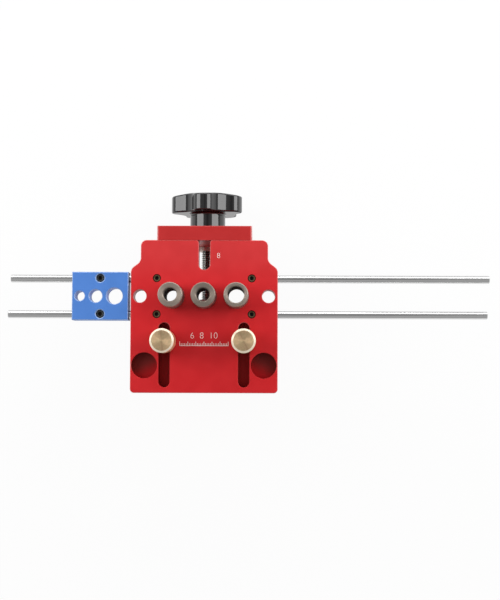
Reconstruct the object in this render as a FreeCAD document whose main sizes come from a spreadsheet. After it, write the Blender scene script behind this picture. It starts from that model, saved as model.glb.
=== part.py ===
import FreeCAD, Part
import math
import os
from types import SimpleNamespace

import Sketcher

# Dowelling jig with a clamp screw, a sliding fence and a stop block on two rods.
#
# Frame: +X runs along the rods, +Y towards the clamp knob, +Z up. The origin is on the
# axis of the centre bush, level with the underside of the guide plate, which is the face
# that rests on the edge of the board. All sizes are millimetres unless the note says more.

DIMENSIONS = [
    # guide plate
    ("plate_width", 91.4, "guide plate, side to side"),
    ("plate_front", 60.0, "bush line to the front edge"),
    ("plate_rear", 35.0, "bush line to the rear edge"),
    ("plate_thickness", 12.0, "guide plate"),
    ("neck_inset", 6.1, "rear part of the guide plate, narrower on each side"),
    ("flare_front", 17.0, "bush line to the corner where the plate reaches full width"),
    ("flare_rear", 21.5, "bush line to the corner where the neck ends"),
    ("flare_outer_radius", 4.5, "rounding of the outward corner of the flare"),
    ("flare_inner_radius", 5.0, "rounding of the inward corner of the flare"),
    ("front_corner_radius", 2.5, "front corners of the guide plate"),
    ("rear_corner_radius", 3.7, "rear corners of the guide plate"),
    ("edge_chamfer", 0.4, "broken edges of the machined plates"),
    # dowel sizes and the bushes that guide the drill
    ("small_dowel", 6.0, "drill diameter"),
    ("medium_dowel", 8.0, "drill diameter"),
    ("large_dowel", 10.0, "drill diameter"),
    ("drill_clearance", 0.05, "radial, between a drill and its guide hole"),
    ("bush_spacing", 20.0, "between neighbouring bush axes"),
    ("bush_diameter", 15.0, "outside of each bush"),
    ("bush_length", 30.0, "each bush"),
    ("bush_fit", 0.02, "radial, between a bush and the guide plate"),
    ("bush_edge", 0.5, "chamfer on the outside edges of a bush"),
    ("bush_lead_in", 0.6, "chamfer at the mouth of a bush"),
    ("plate_hole_edge", 5.7, "guide holes of the plate itself to its sides"),
    # openings of the guide plate
    ("notch_width", 7.1, "sight notch in the rear edge"),
    ("notch_end", 16.5, "bush line to the round end of the sight notch"),
    ("notch_corner_radius", 1.5, "rounding at the mouth of the sight notch"),
    ("slot_edge", 21.0, "centre lines of the fence slots to the sides of the plate"),
    ("slot_width", 7.0, "fence slots"),
    ("slot_start", 16.4, "bush line to the rear end of the fence slots"),
    ("slot_end", 56.5, "bush line to the front end of the fence slots"),
    ("pocket_wall", 0.7, "bush storage pockets to the sides of the guide plate"),
    ("pocket_line", 43.0, "bush line to the storage pockets"),
    ("pocket_clearance", 0.5, "radial, between a stored bush and its pocket"),
    ("pocket_depth", 8.0, "storage pockets"),
    ("pocket_chamfer", 0.25, "mouths of the storage pockets"),
    # rods, with the grub screws that lock them
    ("rod_diameter", 5.0, "guide rods"),
    ("rod_length", 300.0, "guide rods"),
    ("rod_spacing", 22.4, "between the two rods"),
    ("rod_height", 5.0, "rod axis above the underside of the guide plate"),
    ("rod_fit", 0.04, "radial, between a rod and its bore"),
    ("rod_chamfer", 0.4, "rod ends"),
    ("rear_rod_centre", 28.4, "bush centre to the middle of the rear rod, along the rods"),
    ("front_rod_centre", 26.9, "bush centre to the middle of the front rod"),
    ("lock_screw_diameter", 5.0, "grub screws over the rods"),
    ("lock_screw_edge", 16.2, "grub screws of the guide plate to its sides"),
    ("lock_screw_recess", 0.3, "top of a grub screw below the surface"),
    ("lock_screw_gap", 0.05, "tip of a grub screw to its rod"),
    ("lock_screw_point", 0.9, "chamfer at the tip of a grub screw"),
    ("lock_screw_key", 2.5, "hexagon socket, across flats"),
    ("lock_screw_key_depth", 2.2, "hexagon socket"),
    ("screw_fit", 0.03, "radial, between a fixed screw and its tapped hole"),
    # stop block
    ("block_length", 35.0, "stop block, along the rods"),
    ("block_margin", 3.8, "rod axes to the long sides of the stop block"),
    ("block_gap", 1.5, "stop block to the side of the guide plate"),
    ("block_small_hole", 4.8, "outer end of the block to its small guide hole"),
    ("block_medium_hole", 14.7, "outer end of the block to its medium guide hole"),
    ("block_large_hole", 26.4, "outer end of the block to its large guide hole"),
    ("block_screw_chamfer", 0.6, "mouth of the grub screw holes in the block"),
    # rear plate and the two cap screws that hold it
    ("rear_plate_width", 59.2, "rear plate, side to side"),
    ("rear_plate_thickness", 9.0, "rear plate"),
    ("rear_plate_depth", 52.0, "rear plate, below the underside of the guide plate"),
    ("rear_plate_end_chamfer", 1.1, "upper end edges of the rear plate"),
    ("cap_screw_diameter", 5.0, "shank"),
    ("cap_screw_length", 16.0, "shank"),
    ("cap_head_diameter", 8.5, "cylindrical head"),
    ("cap_head_height", 5.0, "cylindrical head"),
    ("cap_screw_key", 4.0, "hexagon socket, across flats"),
    ("cap_screw_key_depth", 2.5, "hexagon socket"),
    ("cap_screw_spacing", 38.0, "between the two cap screws"),
    ("cap_screw_clearance", 0.25, "radial, round shank and head"),
    ("cap_head_sink", 0.4, "head below the rear face"),
    # clamp screw, insert, pad and clip
    ("clamp_axis_depth", 36.0, "screw axis below the underside of the guide plate"),
    ("clamp_screw_diameter", 8.0, "over the thread"),
    ("thread_clearance", 0.05, "radial, between a turning thread and its nut"),
    ("insert_diameter", 14.0, "steel insert pressed into the rear plate"),
    ("insert_lip", 2.4, "insert standing out of the front face of the rear plate"),
    ("insert_chamfer", 0.6, "mouths of the insert"),
    ("pad_diameter", 24.0, "clamp pad"),
    ("pad_thickness", 7.0, "clamp pad"),
    ("pad_edge", 0.8, "chamfer round the pad"),
    ("pad_recess_diameter", 10.4, "recess in the face of the pad"),
    ("pad_recess_depth", 2.6, "recess in the face of the pad"),
    ("screw_tip_diameter", 5.0, "reduced tip of the clamp screw"),
    ("tip_clearance", 0.1, "radial, between the tip and the pad"),
    ("tip_shoulder_gap", 0.05, "shoulder of the screw to the back of the pad"),
    ("tip_setback", 0.8, "end of the tip behind the face of the pad"),
    ("clip_thickness", 0.7, "retaining clip"),
    ("clip_diameter", 8.8, "retaining clip"),
    ("clip_groove_diameter", 4.0, "groove for the clip"),
    ("clip_groove_margin", 0.05, "each side of the clip, in its groove and at the pad"),
    ("clip_mouth", 2.8, "opening of the clip"),
    # star knob
    ("knob_gap", 1.4, "hub of the knob to the rear plate"),
    ("knob_diameter", 48.1, "over the lobes"),
    ("knob_hub_diameter", 23.3, "hub"),
    ("knob_hub_length", 12.15, "hub, up to the rim"),
    ("knob_neck_radius", 1.2, "rounding between hub and rim"),
    ("knob_rim_width", 10.85, "rim, along the axis"),
    ("knob_crown", 3.0, "crown of the outer face"),
    ("knob_crown_rise", 1.5, "slope from the edge of the rim to the middle of the crown"),
    ("knob_crown_inset", 7.5, "width of that slope"),
    ("knob_cap_diameter", 12.0, "flat middle of the crown"),
    ("knob_scallop_radius", 14.1, "finger hollows between the lobes"),
    ("knob_scallop_depth", 5.65, "finger hollows"),
    ("knob_lobe_radius", 5.65, "rounding of the lobes"),
    ("knob_edge_radius", 1.1, "rounding of both edges of the rim"),
    ("knob_screw_depth", 14.5, "clamp screw moulded into the knob"),
    ("moulded_gap", 0.01, "radial, between a stud and the head it is fixed in"),
    # sliding fence
    ("fence_face", 16.0, "bush line to the face of the fence"),
    ("fence_inset", 0.5, "upright plate, narrower than the guide plate on each side"),
    ("fence_slide_inset", 3.5, "sliding plate, narrower than the guide plate on each side"),
    ("fence_slide_depth", 37.0, "sliding plate, front to back"),
    ("fence_slide_thickness", 10.0, "plate that slides under the guide plate"),
    ("fence_face_thickness", 7.0, "upright plate of the fence"),
    ("fence_gap", 0.2, "sliding gap under the guide plate"),
    ("fence_stand", 0.2, "foot of the fence below the knob"),
    ("fence_screw_diameter", 4.0, "shank of the countersunk screws"),
    ("fence_screw_length", 18.0, "countersunk screws"),
    ("fence_screw_head", 7.6, "head diameter"),
    ("fence_screw_key", 2.5, "hexagon socket, across flats"),
    ("fence_screw_key_depth", 1.6, "hexagon socket"),
    ("fence_screw_edge", 9.5, "countersunk screws to the sides of the guide plate"),
    ("fence_screw_sink", 0.1, "head below the surface"),
    # thumb screws
    ("thumb_line", 28.0, "bush line to the thumb screws"),
    ("thumb_head_diameter", 14.8, "brass head"),
    ("thumb_head_height", 19.3, "brass head"),
    ("thumb_head_chamfer", 1.2, "upper edge of the brass head"),
    ("thumb_head_foot", 0.6, "lower edge of the brass head"),
    ("thumb_stud_diameter", 6.0, "steel stud"),
    ("thumb_stud_grip", 10.0, "stud inside the brass head"),
    ("thumb_stud_margin", 0.6, "end of the stud above the underside of the sliding plate"),
    ("thumb_stud_point", 0.7, "chamfer at the end of the stud"),
    ("washer_diameter", 12.4, "washer under the brass head"),
    ("washer_thickness", 1.2, "washer"),
    ("washer_clearance", 0.2, "radial, between stud and washer"),
    ("washer_gap", 0.02, "under the washer"),
]
KNOB_LOBES = 5
KNOB_TURN = math.radians(11.5)  # from local X to the first finger hollow
OVERSHOOT = 1.0  # how far a cutting sketch stands outside the solid that it cuts
TOUCH = 1e-4  # tolerance for finding an edge by its place
LOBE_ROUND_SHARE = 0.95  # at most this much of a knob's lobe is taken up by its roundings
HEX_CORNER = 2 / 3**0.5  # corner radius of a hexagon over half its width across flats
ALONG_Y = FreeCAD.Rotation(FreeCAD.Vector(1, 0, 0), -90)  # turns local +Z to +Y
ALONG_X = FreeCAD.Rotation(FreeCAD.Vector(0, 1, 0), 90)  # turns local +Z to +X


class Size:
    """A length that carries its value and its formula over the spreadsheet's cells."""

    def __init__(self, value, formula):
        self.value = float(value)
        self.formula = formula

    def __add__(self, other):
        other = as_size(other)
        return Size(self.value + other.value, f"({self.formula} + {other.formula})")

    def __sub__(self, other):
        other = as_size(other)
        return Size(self.value - other.value, f"({self.formula} - {other.formula})")

    def __mul__(self, other):
        other = as_size(other)
        return Size(self.value * other.value, f"({self.formula} * {other.formula})")

    def __truediv__(self, other):
        other = as_size(other)
        return Size(self.value / other.value, f"({self.formula} / {other.formula})")

    def __neg__(self):
        return Size(-self.value, f"(-{self.formula})")

    def up_to(self, limit):
        """This size, or the limit where that is smaller."""
        return Size(min(self.value, limit.value), f"min({self.formula}; {limit.formula})")

    __radd__ = __add__
    __rmul__ = __mul__


def as_size(number):
    return number if isinstance(number, Size) else Size(number, repr(float(number)))


def make_sheet(doc):
    """Writes the driving dimensions to the sheet and returns them as sizes."""
    sheet = doc.addObject("Spreadsheet::Sheet", "Dimensions")
    for row, (alias, value, note) in enumerate(DIMENSIONS, start=1):
        sheet.set(f"A{row}", alias)
        sheet.set(f"B{row}", str(value))
        sheet.setAlias(f"B{row}", alias)
        sheet.set(f"C{row}", note)
    doc.recompute()
    return SimpleNamespace(
        **{alias: Size(value, f"Dimensions.{alias}") for alias, value, note in DIMENSIONS}
    )


class Outline:
    """A sketch whose points are all tied to sizes. A coordinate of 0 lies on the axis."""

    def __init__(self, piece, plane, offset):
        self.sketch = piece.body.newObject("Sketcher::SketchObject", "Sketch")
        base = next(f for f in piece.body.Origin.OriginFeatures if f.Role == plane)
        self.sketch.AttachmentSupport = [(base, "")]
        self.sketch.MapMode = "FlatFace"
        normal_sign = -1 if plane == "XZ_Plane" else 1
        shift = as_size(offset) * normal_sign
        self.sketch.AttachmentOffset = FreeCAD.Placement(
            FreeCAD.Vector(0, 0, shift.value), FreeCAD.Rotation()
        )
        self.sketch.setExpression("AttachmentOffset.Base.z", shift.formula)

    def constrain(self, kind, *arguments, size=None):
        if size is None:
            return self.sketch.addConstraint(Sketcher.Constraint(kind, *arguments))
        index = self.sketch.addConstraint(
            Sketcher.Constraint(kind, *arguments, size.value)
        )
        self.sketch.setExpression(f"Constraints[{index}]", size.formula)
        return index

    def fix(self, geometry, point, x, y):
        """Ties a point of the sketch to its two coordinates."""
        for kind, axis, coordinate in (("DistanceX", -2, x), ("DistanceY", -1, y)):
            if isinstance(coordinate, Size):
                self.constrain(kind, -1, 1, geometry, point, size=coordinate)
            else:
                self.constrain("PointOnObject", geometry, point, axis)

    def polygon(self, points):
        corners = [
            FreeCAD.Vector(as_size(x).value, as_size(y).value, 0) for x, y in points
        ]
        following = corners[1:] + corners[:1]
        lines = [
            self.sketch.addGeometry(Part.LineSegment(start, end), False)
            for start, end in zip(corners, following)
        ]
        for line, successor in zip(lines, lines[1:] + lines[:1]):
            self.constrain("Coincident", line, 2, successor, 1)
        for line, (x, y) in zip(lines, points):
            self.fix(line, 1, x, y)
        return self

    def circle(self, x, y, radius):
        centre = FreeCAD.Vector(as_size(x).value, as_size(y).value, 0)
        up = FreeCAD.Vector(0, 0, 1)
        ring = self.sketch.addGeometry(Part.Circle(centre, up, radius.value), False)
        self.constrain("Radius", ring, size=radius)
        self.fix(ring, 3, x, y)
        return self

    def hexagon(self, across_flats):
        half = across_flats / 2
        corner = half * HEX_CORNER
        middle = corner / 2
        return self.polygon(
            [
                (corner, 0),
                (middle, half),
                (-middle, half),
                (-corner, 0),
                (-middle, -half),
                (middle, -half),
            ]
        )

    def rectangle(self, left, right, low, high):
        return self.polygon([(left, low), (right, low), (right, high), (left, high)])


class Piece:
    """One part of the jig: a PartDesign body that grows feature by feature."""

    def __init__(self, label, place=(0, 0, 0), turn=None):
        self.body = doc.addObject("PartDesign::Body", label)
        self.body.Label = label
        self.body.Placement = FreeCAD.Placement(
            FreeCAD.Vector(*(as_size(p).value for p in place)),
            turn or FreeCAD.Rotation(),
        )
        for axis, size in zip("xyz", place):
            if isinstance(size, Size):
                self.body.setExpression(f"Placement.Base.{axis}", size.formula)
        pieces.append(self)

    def outline(self, plane="XY_Plane", offset=0):
        return Outline(self, plane, offset)

    def feature(self, kind, outline, **settings):
        made = self.body.newObject(f"PartDesign::{kind}", kind)
        made.Profile = outline.sketch
        for name, value in settings.items():
            if isinstance(value, Size):
                setattr(made, name, value.value)
                made.setExpression(name, value.formula)
            else:
                setattr(made, name, value)
        return self.finished(made)

    def finished(self, made):
        doc.recompute()
        if not made.isValid() or made.Shape.isNull():
            raise RuntimeError(f"{made.Name} of {self.body.Label} has failed")
        return made

    def pad(self, outline, length):
        return self.feature("Pad", outline, Length=length)

    def revolve(self, points):
        """A solid of revolution about local Z, from points (radius, height)."""
        outline = self.outline("XZ_Plane").polygon(points)
        return self.feature(
            "Revolution", outline, ReferenceAxis=(outline.sketch, ["V_Axis"]), Angle=360
        )

    def cut(self, outline, depth=None, backwards=False):
        """A pocket that must take something away: through everything, or to a depth."""
        before = self.body.Shape.Volume
        settings = {"Type": "ThroughAll"} if depth is None else {"Length": depth}
        pocket = self.feature("Pocket", outline, Reversed=backwards, **settings)
        if self.body.Shape.Volume > before - TOUCH:
            raise RuntimeError(f"a pocket in {self.body.Label} takes nothing away")
        return pocket

    def repeat_round(self, pocket, count):
        pattern = self.body.newObject("PartDesign::PolarPattern", "PolarPattern")
        pattern.Originals = [pocket]
        z_axis = next(f for f in self.body.Origin.OriginFeatures if f.Role == "Z_Axis")
        pattern.Axis = (z_axis, [""])
        pattern.Angle = 360
        pattern.Occurrences = count
        self.body.Tip = pattern
        self.finished(pattern)

    def dress(self, kind, where, **sizes):
        """A fillet or chamfer on the edges that the test picks."""
        base = self.body.Tip
        edges = enumerate(base.Shape.Edges, start=1)
        names = [f"Edge{number}" for number, edge in edges if where(edge)]
        if not names:
            raise RuntimeError(f"no edge of {self.body.Label} for its {kind}")
        made = self.body.newObject(f"PartDesign::{kind}", kind)
        made.Base = (base, names)
        for name, size in sizes.items():
            setattr(made, name, size.value)
            made.setExpression(name, size.formula)
        self.body.Tip = made
        self.finished(made)

    def fillet(self, radius, where):
        self.dress("Fillet", where, Radius=radius)

    def chamfer(self, size, where):
        self.dress("Chamfer", where, Size=size)


def near(value, size):
    return abs(value - as_size(size).value) < TOUCH


def flat_at(edge, axis, level):
    """True if the whole edge lies in the plane where that coordinate has that value."""
    box = edge.BoundBox
    low, high = getattr(box, axis + "Min"), getattr(box, axis + "Max")
    return near(low, level) and near(high, level)


def upright_at(edge, x, y):
    """True for a vertical edge that stands at that place, on either side of X = 0."""
    box = edge.BoundBox
    straight = near(box.XMin, box.XMax) and near(box.YMin, box.YMax)
    return straight and near(abs(box.XMin), x) and near(box.YMin, y)


def slot_outline(outline, x, low, high, width):
    """A straight slot along the sketch's Y, with round ends at low and high."""
    radius = width / 2
    upper_y, lower_y = high - radius, low + radius
    arcs = []
    for centre_y, first, last in ((upper_y, 0, math.pi), (lower_y, math.pi, 2 * math.pi)):
        centre = FreeCAD.Vector(as_size(x).value, centre_y.value, 0)
        ring = Part.Circle(centre, FreeCAD.Vector(0, 0, 1), radius.value)
        arcs.append(outline.sketch.addGeometry(Part.ArcOfCircle(ring, first, last), False))
        outline.fix(arcs[-1], 3, x, centre_y)
    upper, lower = arcs
    left = as_size(x).value - radius.value
    right = as_size(x).value + radius.value
    for place, start_y, end_y, before, after in (
        (left, upper_y, lower_y, upper, lower),
        (right, lower_y, upper_y, lower, upper),
    ):
        line = Part.LineSegment(
            FreeCAD.Vector(place, start_y.value, 0), FreeCAD.Vector(place, end_y.value, 0)
        )
        side = outline.sketch.addGeometry(line, False)
        outline.constrain("Tangent", before, 2, side, 1)
        outline.constrain("Tangent", side, 2, after, 1)
    outline.constrain("Radius", upper, size=radius)
    outline.constrain("Equal", upper, lower)
    return outline


def make_guide_plate():
    plate = Piece("guide_plate")
    half, neck = inside_plate(0)[1], inside_plate(d.neck_inset)[1]
    right_side = [
        (half, -d.plate_front),
        (half, d.flare_front),
        (neck, d.flare_rear),
        (neck, d.plate_rear),
    ]
    left_side = [(-x, y) for x, y in reversed(right_side)]
    plate.pad(plate.outline().polygon(right_side + left_side), d.plate_thickness)
    top = d.plate_thickness
    notch = slot_outline(
        plate.outline(offset=top), 0, d.notch_end, d.plate_rear + d.notch_width, d.notch_width
    )
    plate.cut(notch)
    plate.fillet(d.front_corner_radius, lambda e: upright_at(e, half, -d.plate_front))
    plate.fillet(d.flare_outer_radius, lambda e: upright_at(e, half, d.flare_front))
    plate.fillet(d.flare_inner_radius, lambda e: upright_at(e, neck, d.flare_rear))
    plate.fillet(d.rear_corner_radius, lambda e: upright_at(e, neck, d.plate_rear))
    plate.fillet(
        d.notch_corner_radius, lambda e: upright_at(e, d.notch_width / 2, d.plate_rear)
    )
    holes = plate.outline(offset=top)
    for x in (-d.bush_spacing, 0, d.bush_spacing):
        holes.circle(x, 0, d.bush_diameter / 2 + d.bush_fit)
    for x in inside_plate(d.plate_hole_edge):
        holes.circle(x, 0, d.medium_dowel / 2 + d.drill_clearance)
    plate.cut(holes)
    slots = plate.outline(offset=top)
    for x in inside_plate(d.slot_edge):
        slot_outline(slots, x, -d.slot_end, -d.slot_start, d.slot_width)
    plate.cut(slots)
    plate.chamfer(d.edge_chamfer, lambda e: flat_at(e, "Z", top))
    pocket_radius = d.bush_diameter / 2 + d.pocket_clearance
    pockets = plate.outline(offset=top)
    for x in inside_plate(d.pocket_wall + pocket_radius):
        pockets.circle(x, -d.pocket_line, pocket_radius)
    plate.cut(pockets, d.pocket_depth)
    plate.chamfer(
        d.pocket_chamfer,
        lambda e: flat_at(e, "Z", top) and near(e.BoundBox.XLength, pocket_radius * 2),
    )
    bore_for_rods(plate, half)
    screw_holes = plate.outline(offset=top)
    for x in inside_plate(d.lock_screw_edge):
        for y in both_sides(d.rod_spacing):
            screw_holes.circle(x, y, d.lock_screw_diameter / 2 + d.screw_fit)
    plate.cut(screw_holes, top - d.rod_height)
    tapped = plate.outline("XZ_Plane", d.plate_rear)
    for x in both_sides(d.cap_screw_spacing):
        tapped.circle(x, d.plate_thickness / 2, d.cap_screw_diameter / 2 + d.screw_fit)
    plate.cut(tapped, cap_screw_reach() + OVERSHOOT, backwards=True)


def both_sides(spacing):
    """The two places, left and right or front and rear, that lie this far apart."""
    return (-(spacing / 2), spacing / 2)


def inside_plate(inset):
    """The two places that lie this far inside the left and right sides of the plate."""
    return both_sides(d.plate_width - as_size(inset) * 2)


def bore_for_rods(piece, end):
    bores = piece.outline("YZ_Plane", end)
    for y in both_sides(d.rod_spacing):
        bores.circle(y, d.rod_height, d.rod_diameter / 2 + d.rod_fit)
    piece.cut(bores)


def make_bush(label, x, dowel):
    bush = Piece(label, (x, 0, 0))
    bore, outside = dowel / 2 + d.drill_clearance, d.bush_diameter / 2
    bush.revolve(
        [
            (bore, 0),
            (outside - d.bush_edge, 0),
            (outside, d.bush_edge),
            (outside, d.bush_length - d.bush_edge),
            (outside - d.bush_edge, d.bush_length),
            (bore + d.bush_lead_in, d.bush_length),
            (bore, d.bush_length - d.bush_lead_in),
        ]
    )


def make_lock_screw(label, x, y):
    """A grub screw that stands over a rod, its tip down."""
    tip = d.rod_height + d.rod_diameter / 2 + d.lock_screw_gap
    screw = Piece(label, (x, y, tip))
    radius = d.lock_screw_diameter / 2
    length = d.plate_thickness - d.lock_screw_recess - tip
    screw.revolve(
        [
            (0, 0),
            (radius - d.lock_screw_point, 0),
            (radius, d.lock_screw_point),
            (radius, length),
            (0, length),
        ]
    )
    socket = screw.outline(offset=length).hexagon(d.lock_screw_key)
    screw.cut(socket, d.lock_screw_key_depth)


def make_rod(label, centre, y):
    rod = Piece(label, (centre - d.rod_length / 2, y, d.rod_height), ALONG_X)
    radius = d.rod_diameter / 2
    rod.revolve(
        [
            (0, 0),
            (radius - d.rod_chamfer, 0),
            (radius, d.rod_chamfer),
            (radius, d.rod_length - d.rod_chamfer),
            (radius - d.rod_chamfer, d.rod_length),
            (0, d.rod_length),
        ]
    )


def make_stop_block():
    block = Piece("stop_block")
    inner = -(d.plate_width / 2) - d.block_gap
    outer = inner - d.block_length
    low, high = both_sides(d.rod_spacing + d.block_margin * 2)
    block.pad(block.outline().rectangle(outer, inner, low, high), d.plate_thickness)
    top = d.plate_thickness
    holes = block.outline(offset=top)
    for place, dowel in (
        (d.block_small_hole, d.small_dowel),
        (d.block_medium_hole, d.medium_dowel),
        (d.block_large_hole, d.large_dowel),
    ):
        holes.circle(outer + place, 0, dowel / 2 + d.drill_clearance)
    block.cut(holes)
    block.chamfer(d.edge_chamfer, lambda e: flat_at(e, "Z", top))
    bore_for_rods(block, inner)
    middle = outer + d.block_length / 2
    screw_holes = block.outline(offset=top)
    hole_radius = d.lock_screw_diameter / 2 + d.screw_fit
    for y in both_sides(d.rod_spacing):
        screw_holes.circle(middle, y, hole_radius)
    block.cut(screw_holes, top - d.rod_height)
    block.chamfer(
        d.block_screw_chamfer,
        lambda e: flat_at(e, "Z", top)
        and near(e.BoundBox.XLength, hole_radius * 2)
        and near(e.BoundBox.Center.x, middle),
    )
    for side, y in zip(("front", "rear"), both_sides(d.rod_spacing)):
        make_lock_screw(f"block_lock_screw_{side}", middle, y)


def cap_screw_seat():
    """Where the heads of the cap screws bear, measured from the bush line."""
    rear_face = d.plate_rear + d.rear_plate_thickness
    return rear_face - d.cap_head_sink - d.cap_head_height


def cap_screw_reach():
    """How far the cap screws go into the guide plate."""
    return d.plate_rear - (cap_screw_seat() - d.cap_screw_length)


def make_rear_plate():
    plate = Piece("rear_clamp_plate")
    low, high = -d.rear_plate_depth, d.plate_thickness
    left, right = both_sides(d.rear_plate_width)
    rear_face = d.plate_rear + d.rear_plate_thickness
    base = plate.outline(offset=low).rectangle(left, right, d.plate_rear, rear_face)
    plate.pad(base, high - low)
    plate.chamfer(
        d.rear_plate_end_chamfer,
        lambda e: flat_at(e, "Z", high) and near(e.BoundBox.XLength, 0),
    )
    plate.chamfer(
        d.edge_chamfer, lambda e: flat_at(e, "Z", high) and flat_at(e, "Y", rear_face)
    )
    seat = plate.outline("XZ_Plane", d.plate_rear)
    seat.circle(0, -d.clamp_axis_depth, d.insert_diameter / 2 + d.screw_fit)
    for x in both_sides(d.cap_screw_spacing):
        shank = d.cap_screw_diameter / 2 + d.cap_screw_clearance
        seat.circle(x, d.plate_thickness / 2, shank)
    plate.cut(seat)
    counterbores = plate.outline("XZ_Plane", rear_face)
    for x in both_sides(d.cap_screw_spacing):
        head = d.cap_head_diameter / 2 + d.cap_screw_clearance
        counterbores.circle(x, d.plate_thickness / 2, head)
    plate.cut(counterbores, d.cap_head_height + d.cap_head_sink, backwards=True)


def make_cap_screw(label, x):
    """A cap screw with its shank towards the front, measured from under the head."""
    screw = Piece(label, (x, cap_screw_seat(), d.plate_thickness / 2), ALONG_Y)
    shank, head = d.cap_screw_diameter / 2, d.cap_head_diameter / 2
    screw.revolve(
        [
            (0, -d.cap_screw_length),
            (shank - d.edge_chamfer, -d.cap_screw_length),
            (shank, d.edge_chamfer - d.cap_screw_length),
            (shank, 0),
            (head, 0),
            (head, d.cap_head_height - d.edge_chamfer),
            (head - d.edge_chamfer, d.cap_head_height),
            (0, d.cap_head_height),
        ]
    )
    socket = screw.outline(offset=d.cap_head_height).hexagon(d.cap_screw_key)
    screw.cut(socket, d.cap_screw_key_depth)


def make_insert():
    """The steel nut of the clamp screw, from the front face of the rear plate."""
    front = d.plate_rear - d.insert_lip
    insert = Piece("threaded_insert", (0, front, -d.clamp_axis_depth), ALONG_Y)
    bore = d.clamp_screw_diameter / 2 + d.thread_clearance
    outside = d.insert_diameter / 2
    length = d.insert_lip + d.rear_plate_thickness
    insert.revolve(
        [
            (bore + d.insert_chamfer, 0),
            (outside, 0),
            (outside, length),
            (bore + d.insert_chamfer, length),
            (bore, length - d.insert_chamfer),
            (bore, d.insert_chamfer),
        ]
    )


def make_clamp_pad():
    """The round pad, its face at local Z = 0 and its back towards the knob."""
    pad = Piece("clamp_pad", (0, -d.pad_thickness, -d.clamp_axis_depth), ALONG_Y)
    outside, recess = d.pad_diameter / 2, d.pad_recess_diameter / 2
    hole = d.screw_tip_diameter / 2 + d.tip_clearance
    pad.revolve(
        [
            (recess, 0),
            (outside - d.pad_edge, 0),
            (outside, d.pad_edge),
            (outside, d.pad_thickness - d.pad_edge),
            (outside - d.pad_edge, d.pad_thickness),
            (hole, d.pad_thickness),
            (hole, d.pad_recess_depth),
            (recess, d.pad_recess_depth),
        ]
    )


def clip_place():
    """Front of the clip, measured from the face of the pad."""
    return d.pad_recess_depth - d.clip_groove_margin - d.clip_thickness


def make_clip():
    face = -d.pad_thickness
    place = (0, face + clip_place(), -d.clamp_axis_depth)
    clip = Piece("pad_retaining_clip", place, ALONG_Y)
    inside = d.clip_groove_diameter / 2 + d.clip_groove_margin
    outside = d.clip_diameter / 2
    clip.pad(
        clip.outline().circle(0, 0, outside).circle(0, 0, inside), d.clip_thickness
    )
    left, right = both_sides(d.clip_mouth)
    mouth = clip.outline(offset=d.clip_thickness)
    mouth.rectangle(left, right, -(outside + OVERSHOOT), -(inside / 2))
    clip.cut(mouth)


def make_clamp_screw():
    """The screw from its tip in the pad to its end inside the knob."""
    tip_end = -(d.pad_thickness - d.tip_setback)
    screw = Piece("clamp_screw", (0, tip_end, -d.clamp_axis_depth), ALONG_Y)
    tip, groove = d.screw_tip_diameter / 2, d.clip_groove_diameter / 2
    thread = d.clamp_screw_diameter / 2
    clip_front = clip_place() - d.tip_setback
    groove_low = clip_front - d.clip_groove_margin
    groove_high = clip_front + d.clip_thickness + d.clip_groove_margin
    shoulder = d.tip_shoulder_gap - tip_end
    end = d.plate_rear + d.rear_plate_thickness + d.knob_gap + d.knob_screw_depth - tip_end
    screw.revolve(
        [
            (0, 0),
            (tip, 0),
            (tip, groove_low),
            (groove, groove_low),
            (groove, groove_high),
            (tip, groove_high),
            (tip, shoulder),
            (thread - d.edge_chamfer, shoulder),
            (thread, shoulder + d.edge_chamfer),
            (thread, end),
            (0, end),
        ]
    )


def make_star_knob():
    """The knob from the face of its hub, local Z = 0, to its crowned outer face."""
    hub_face = d.plate_rear + d.rear_plate_thickness + d.knob_gap
    knob = Piece("star_knob", (0, hub_face, -d.clamp_axis_depth), ALONG_Y)
    rim, hub = d.knob_diameter / 2, d.knob_hub_diameter / 2
    bore = d.clamp_screw_diameter / 2 + d.moulded_gap
    rim_start = d.knob_hub_length
    rim_end = rim_start + d.knob_rim_width
    bore_end = d.knob_screw_depth + d.moulded_gap
    knob.revolve(
        [
            (bore, 0),
            (hub, 0),
            (hub, rim_start),
            (rim, rim_start),
            (rim, rim_end),
            (rim - d.knob_crown_inset, rim_end + d.knob_crown_rise),
            (d.knob_cap_diameter / 2, rim_end + d.knob_crown),
            (0, rim_end + d.knob_crown),
            (0, bore_end),
            (bore, bore_end),
        ]
    )
    reach = rim + d.knob_scallop_radius - d.knob_scallop_depth
    hollow = knob.outline(offset=rim_end + d.knob_crown + OVERSHOOT)
    hollow.circle(
        reach * math.cos(KNOB_TURN), reach * math.sin(KNOB_TURN), d.knob_scallop_radius
    )
    knob.repeat_round(knob.cut(hollow), KNOB_LOBES)
    # At full_round both roundings of a lobe meet in its middle: their centre is then rim
    # minus full_round from the axis and scallop radius plus full_round from the hollow's.
    along = reach * math.cos(math.pi / KNOB_LOBES)
    squares = reach * reach + rim * rim - d.knob_scallop_radius * d.knob_scallop_radius
    full_round = (squares / 2 - rim * along) / (d.knob_scallop_radius + rim - along)
    knob.fillet(
        d.knob_lobe_radius.up_to(full_round * LOBE_ROUND_SHARE),
        lambda e: near(e.BoundBox.XLength, 0)
        and near(e.BoundBox.YLength, 0)
        and near(e.BoundBox.ZLength, d.knob_rim_width),
    )
    slope_foot = rim - d.knob_crown_inset
    knob.fillet(
        d.knob_edge_radius,
        lambda e: (flat_at(e, "Z", rim_start) or e.BoundBox.ZMin > rim_end.value - TOUCH)
        and far_out(e, slope_foot),
    )
    knob.fillet(
        d.knob_neck_radius,
        lambda e: flat_at(e, "Z", rim_start) and near(e.BoundBox.XLength, hub * 2),
    )


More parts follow.
